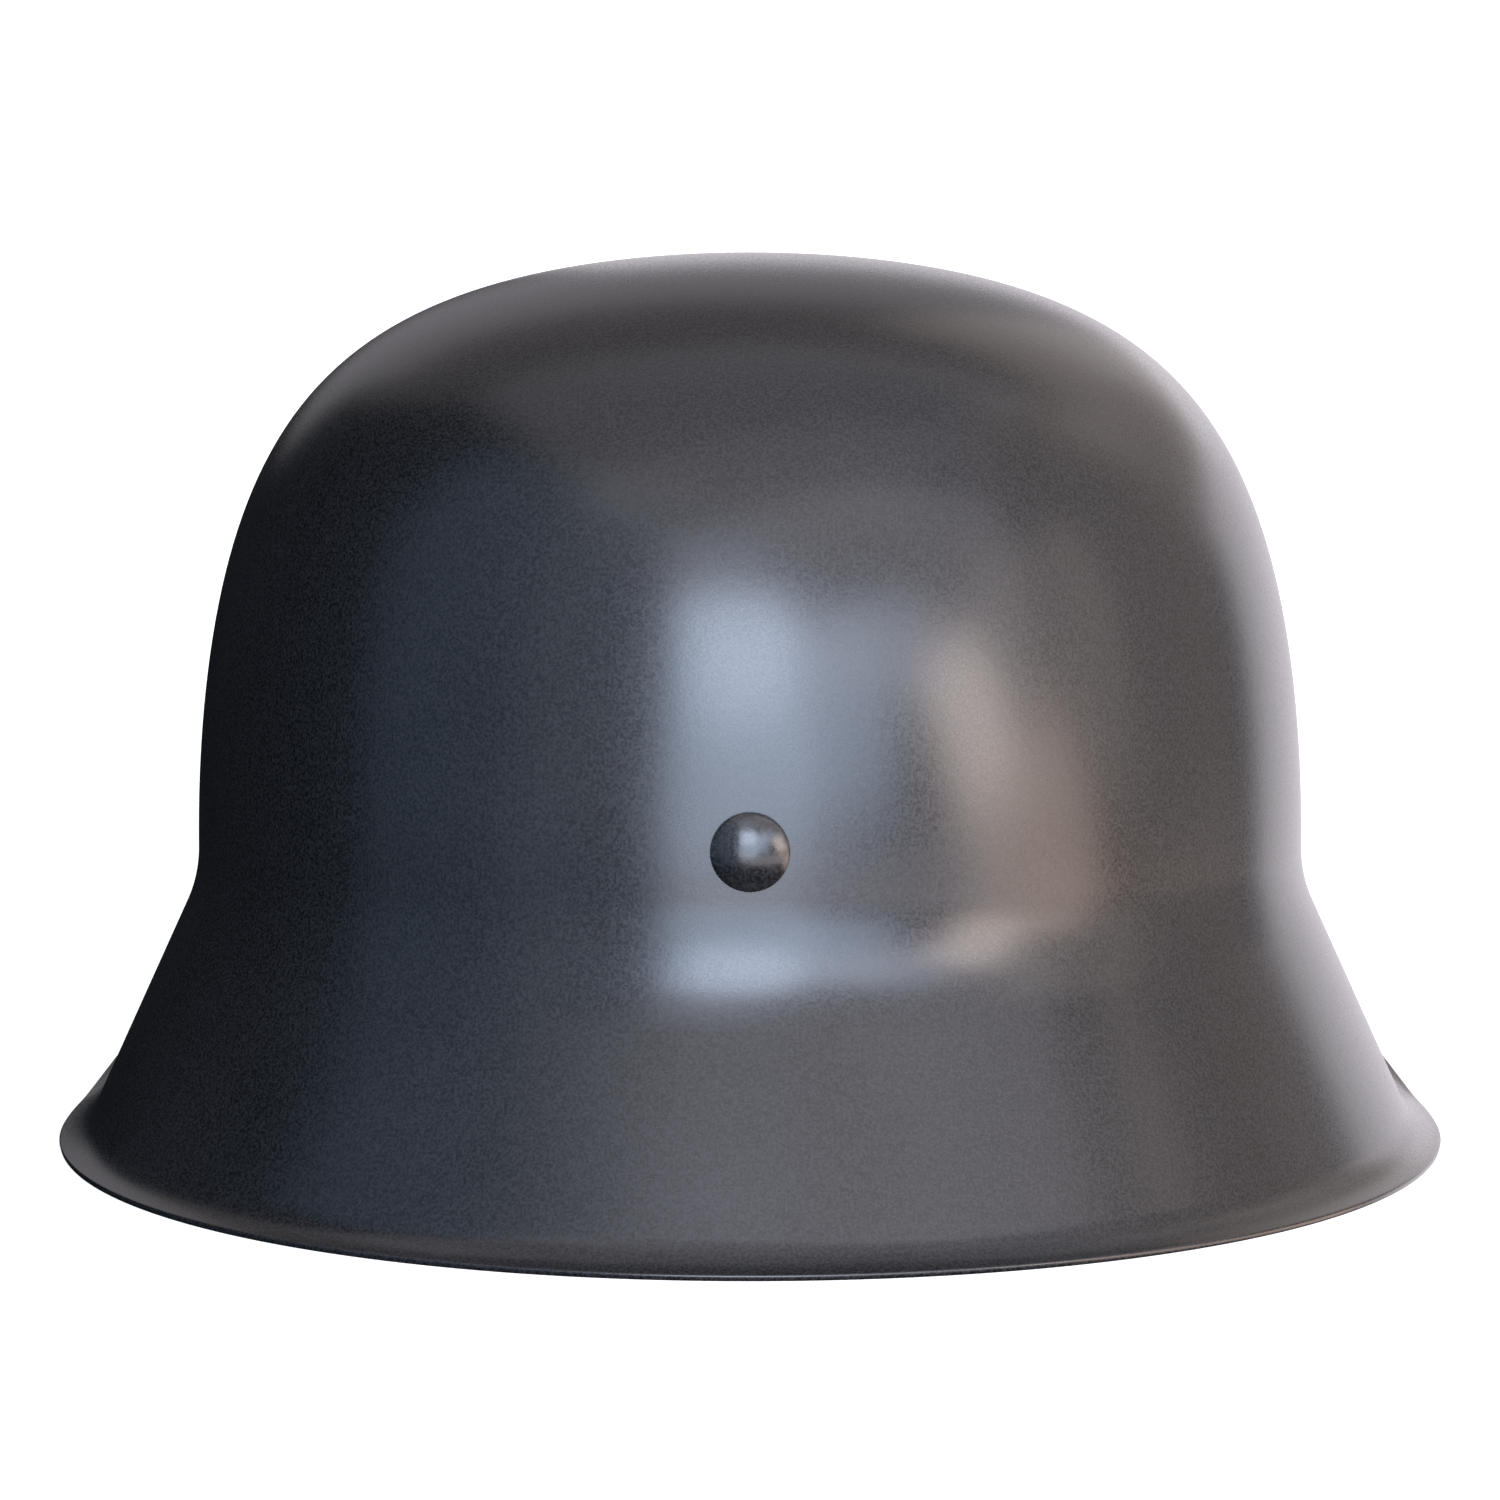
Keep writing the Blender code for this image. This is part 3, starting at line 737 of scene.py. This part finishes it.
def field_paint(name, looks, roughness):
    """Slate-grey paint with a powdery grain on orange-peel waves, paler along its edges: partly polish wear
    and partly a painted highlight on the edges.
    """
    material = bpy.data.materials.new(name)
    nodes = Nodes(material)
    surface = nodes.tree.nodes["Principled BSDF"]
    place = nodes.add("ShaderNodeTexCoord").outputs["Object"]

    patches = nodes.noise(place, PATCH_WIDTH, detail=3.0)
    flow = nodes.noise(place, looks.peel_size, detail=1.0)
    grain = nodes.noise(place, looks.grain_size, detail=1.0, roughness=0.6)
    waves = nodes.noise(place, looks.dent_size, detail=1.0, roughness=0.4)

    # Each noise stays near 0.5, so the remaps stretch the part of its range that it fills.
    wide = nodes.math("MULTIPLY", nodes.remap(patches, 0.35, 0.65), looks.patchiness)
    fine = nodes.math("MULTIPLY", nodes.remap(grain, 0.36, 0.64, smooth=False), 1.0 - looks.patchiness)
    tone = nodes.math("ADD", wide, fine)
    bare = nodes.mix(tone, opaque(looks.dark_tone), opaque(looks.pale_tone))

    # Pointiness is 0.5 on a flat face and more along an outward edge, where the paint is made paler: partly
    # handling wear and partly a painted highlight of the light line along the rim's edges.
    edge = nodes.add("ShaderNodeNewGeometry").outputs["Pointiness"]
    wear_and_highlight_mask = nodes.math("MULTIPLY", nodes.remap(edge, 0.56, 0.66), nodes.remap(flow, 0.35, 0.60))
    nodes.feed(surface.inputs["Base Color"], nodes.mix(wear_and_highlight_mask, bare, opaque(looks.wear_and_highlight_tone)))

    mottle = nodes.remap(grain, 0.30, 0.70, *roughness, smooth=False)
    nodes.feed(surface.inputs["Roughness"], mottle)
    surface.inputs["Specular IOR Level"].default_value = looks.gloss_level

    slow = nodes.bump(waves, looks.dent_depth)
    peel = nodes.bump(flow, looks.peel_depth, slow)
    nodes.feed(surface.inputs["Normal"], nodes.bump(grain, looks.grain_depth, peel))
    return material


def fitted(obj, slot, material, *nodes):
    """Fixes a finished piece to the helmet in place of its solids."""
    obj.data.materials.clear()
    obj.data.materials.append(material)
    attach(obj, "root")
    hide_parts(*nodes)


def aimed(obj, place, target, roll=0.0):
    """Puts a light or the camera at a place, turned to its target and leant left by roll degrees."""
    obj.location = place
    turn = (target - place).to_track_quat("-Z", "Y") @ Quaternion((0.0, 0.0, 1.0), math.radians(roll))
    obj.rotation_euler = turn.to_euler()
    bpy.context.scene.collection.objects.link(obj)


def seen_from(target, azimuth, elevation, distance):
    """The place at a distance from the target, by degrees to the right of the camera and degrees up."""
    turn = math.radians(azimuth)
    rise = math.radians(elevation)
    level = distance * math.cos(rise)
    return target + Vector((-level * math.sin(turn), level * math.cos(turn), distance * math.sin(rise)))


# Soft boxes and bright walls of the studio, as seen from the helmet: azimuth to the right of the camera,
# elevation, width, height and roll in degrees, and radiance with its colour.
Panel = namedtuple("Panel", "azimuth elevation width height roll radiance colour")
COOL = (0.81, 0.96, 1.23)
BLUE = (0.66, 0.96, 1.38)
PALE = (1.01, 0.96, 1.03)
WARM = (1.12, 0.97, 0.91)
AMBER = (1.24, 0.95, 0.81)
PANELS = {
    "key_top": Panel(-4.0, 18.0, 25.0, 23.0, 0.0, 6.1, COOL),
    "key_crown": Panel(-8.0, 37.0, 18.0, 16.0, 0.0, 0.5, BLUE),
    "key_low": Panel(-3.5, -3.0, 31.0, 18.0, 0.0, 3.6, COOL),
    "key_side": Panel(19.0, 10.0, 22.0, 30.0, 10.0, 3.0, COOL),
    "key_spill": Panel(35.0, 19.0, 14.0, 16.0, 10.0, 1.9, COOL),
    "warm_box": Panel(49.5, 7.0, 16.0, 21.0, 25.0, 5.4, WARM),
    "warm_low": Panel(65.5, -9.0, 25.0, 24.0, 30.0, 1.9, AMBER),
    "warm_spill": Panel(74.0, 14.0, 30.0, 36.0, 0.0, 0.8, WARM),
    "front_wall": Panel(26.0, 34.0, 76.0, 44.0, 0.0, 0.87, PALE),
    "front_ceiling": Panel(22.0, 60.0, 76.0, 44.0, 0.0, 0.27, PALE),
    "ceiling": Panel(0.0, 89.0, 70.0, 70.0, 0.0, 0.43, PALE),
    "right_wall": Panel(105.0, 20.0, 40.0, 70.0, 0.0, 0.43, WARM),
    "rear_right": Panel(158.0, -6.0, 52.0, 38.0, 0.0, 1.45, PALE),
    "rear_right_high": Panel(146.0, 27.0, 38.0, 32.0, 0.0, 0.5, WARM),
    "rear_band": Panel(180.0, 20.0, 52.0, 24.0, 0.0, 0.4, PALE),
    "rear_ceiling": Panel(168.0, 46.0, 84.0, 28.0, 0.0, 0.15, WARM),
    "front_floor": Panel(20.0, -18.0, 70.0, 18.0, 0.0, 1.7, PALE),
    "right_floor": Panel(95.0, -24.0, 60.0, 20.0, 0.0, 1.8, AMBER),
    "left_floor": Panel(-35.0, -18.0, 40.0, 20.0, 0.0, 0.18, BLUE),
    "left_wall": Panel(-35.0, 25.0, 36.0, 70.0, 0.0, 0.16, PALE),
    "left_far_wall": Panel(-62.0, 20.0, 60.0, 70.0, 0.0, 0.2, BLUE),
}
PANEL_DISTANCE = 3.0


def studio_light(name, panel, target):
    """An area light that fills the panel's solid angle, seen in reflections but not by the camera."""
    light = bpy.data.lights.new(name, "AREA")
    light.shape = "RECTANGLE"
    light.size = 2.0 * PANEL_DISTANCE * math.tan(math.radians(panel.width / 2.0))
    light.size_y = 2.0 * PANEL_DISTANCE * math.tan(math.radians(panel.height / 2.0))
    light.color = panel.colour
    light.energy = panel.radiance * math.pi * light.size * light.size_y
    obj = bpy.data.objects.new(name, light)
    obj.visible_camera = False
    aimed(obj, seen_from(target, panel.azimuth, panel.elevation, PANEL_DISTANCE), target, panel.roll)


def pale_floor(looks):
    """Matt floor paint whose own light grows outwards until it is as white as the backdrop."""
    material = bpy.data.materials.new("pale_floor")
    nodes = Nodes(material)
    surface = nodes.tree.nodes["Principled BSDF"]
    surface.inputs["Base Color"].default_value = opaque(looks.floor_tone)
    surface.inputs["Roughness"].default_value = FLOOR_ROUGHNESS
    surface.inputs["Specular IOR Level"].default_value = FLOOR_GLOSS
    surface.inputs["Emission Color"].default_value = opaque(WHITE)
    place = nodes.add("ShaderNodeTexCoord").outputs["Object"]
    away = nodes.add("ShaderNodeVectorMath", {0: place}, operation="LENGTH").outputs["Value"]
    glow = nodes.remap(away, looks.glow_start, looks.glow_end, looks.near_glow, looks.far_glow)
    nodes.feed(surface.inputs["Emission Strength"], glow)
    return material


def white_backdrop(looks):
    """The backdrop's plain white light."""
    material = bpy.data.materials.new("white_backdrop")
    surface = Nodes(material).tree.nodes["Principled BSDF"]
    surface.inputs["Base Color"].default_value = opaque(BLACK)
    surface.inputs["Emission Color"].default_value = opaque(WHITE)
    surface.inputs["Emission Strength"].default_value = looks.far_glow
    return material


def lay_stage(looks):
    """The floor and the backdrop, which the camera sees and the helmet doesn't reflect."""
    floor = bmesh.new()
    bmesh.ops.create_circle(floor, cap_ends=True, segments=STAGE_STEPS, radius=looks.floor_size)
    dome = bmesh.new()
    bmesh.ops.create_uvsphere(
        dome, u_segments=STAGE_STEPS, v_segments=STAGE_STEPS // 2, radius=looks.floor_size
    )
    bmesh.ops.reverse_faces(dome, faces=dome.faces)
    for name, shape, material in (
        ("floor", floor, pale_floor(looks)),
        ("backdrop", dome, white_backdrop(looks)),
    ):
        obj = object_of(name, shape)
        obj.data.materials.append(material)
        obj.visible_diffuse = False
        obj.visible_glossy = False
        obj.visible_shadow = False


def dim_room():
    """The faint light of the room round the studio."""
    world = bpy.data.worlds.new("dim_room")
    bpy.context.scene.world = world
    background = Nodes(world).tree.nodes["Background"]
    background.inputs["Color"].default_value = opaque(ROOM_COLOUR)
    background.inputs["Strength"].default_value = ROOM_LIGHT


def set_camera(looks, aim):
    """The camera behind the helmet, aimed at a point."""
    camera = bpy.data.cameras.new("camera")
    camera.lens = looks.focal_length
    camera.sensor_width = SENSOR_WIDTH
    camera.clip_end = 4.0 * looks.floor_size
    obj = bpy.data.objects.new("camera", camera)
    elevation = math.degrees(looks.camera_elevation)
    aimed(obj, seen_from(aim, 0.0, elevation, looks.camera_distance), aim)
    bpy.context.scene.camera = obj
    bpy.context.scene.view_settings.view_transform = "Standard"


def build_stage(looks, press):
    """The pale floor with its backdrop, the lights and the camera."""
    lay_stage(looks)
    for name, panel in PANELS.items():
        studio_light(name, panel, Vector((0.0, 0.0, looks.aim_height)))
    dim_room()
    set_camera(looks, Vector((0.0, press.axis_y, looks.aim_height)))


class HELMET_OT_press_shell(bpy.types.Operator):
    """Press the shell from one sheet, stamp its vents and paint it"""

    bl_idname = "helmet.press_shell"
    bl_label = "Press Shell"
    bl_options = {"REGISTER", "UNDO"}

    def execute(self, context):
        scene = context.scene
        shell = build_shell(scene.helmet_shell, scene.helmet_vents, scene.helmet_rivets)
        paint = field_paint("painted_shell", scene.helmet_paint, SHELL_ROUGHNESS)
        fitted(shell, "shell_paint", paint, "shell")
        return {"FINISHED"}


class HELMET_OT_turn_rivets(bpy.types.Operator):
    """Turn the three split-pin liner rivets, bend their legs and paint them"""

    bl_idname = "helmet.turn_rivets"
    bl_label = "Turn Rivets"
    bl_options = {"REGISTER", "UNDO"}

    def execute(self, context):
        scene = context.scene
        press = Press(scene.helmet_shell)
        paint = field_paint("painted_rivets", scene.helmet_paint, RIVET_ROUGHNESS)
        for name, bearing in RIVET_BEARINGS.items():
            rivet = build_rivet(press, scene.helmet_rivets, name, bearing)
            fitted(rivet, "rivet_paint", paint, name)
        return {"FINISHED"}


class HELMET_OT_set_studio(bpy.types.Operator):
    """Lay the pale floor, hang the backdrop and set the lights and the camera"""

    bl_idname = "helmet.set_studio"
    bl_label = "Set Studio"
    bl_options = {"REGISTER", "UNDO"}

    def execute(self, context):
        scene = context.scene
        build_stage(scene.helmet_studio, Press(scene.helmet_shell))
        return {"FINISHED"}


class HELMET_PT_panel(bpy.types.Panel):
    """Lists the helmet's operators and sizes in the sidebar"""

    bl_idname = "HELMET_PT_panel"
    bl_label = "Helmet"
    bl_space_type = "VIEW_3D"
    bl_region_type = "UI"
    bl_category = "Helmet"

    def draw(self, context):
        for operator in OPERATORS:
            self.layout.operator(operator.bl_idname)
        for name, group in SETTINGS.items():
            box = self.layout.box()
            box.label(text=group.__doc__.rstrip("."))
            settings = getattr(context.scene, name)
            for prop in group.__annotations__:
                box.prop(settings, prop)


SETTINGS = {
    "helmet_shell": ShellSizes,
    "helmet_vents": VentSizes,
    "helmet_rivets": RivetSizes,
    "helmet_paint": PaintLooks,
    "helmet_studio": StudioLooks,
}
OPERATORS = (HELMET_OT_press_shell, HELMET_OT_turn_rivets, HELMET_OT_set_studio)


def register():
    for cls in (*SETTINGS.values(), *OPERATORS, HELMET_PT_panel):
        bpy.utils.register_class(cls)
    for name, group in SETTINGS.items():
        setattr(bpy.types.Scene, name, PointerProperty(type=group))


def unregister():
    for name in SETTINGS:
        delattr(bpy.types.Scene, name)
    for cls in reversed((*SETTINGS.values(), *OPERATORS, HELMET_PT_panel)):
        bpy.utils.unregister_class(cls)


def main():
    register()
    bpy.ops.helmet.press_shell()
    bpy.ops.helmet.turn_rivets()
    bpy.ops.helmet.set_studio()


if __name__ == "__main__":
    main()
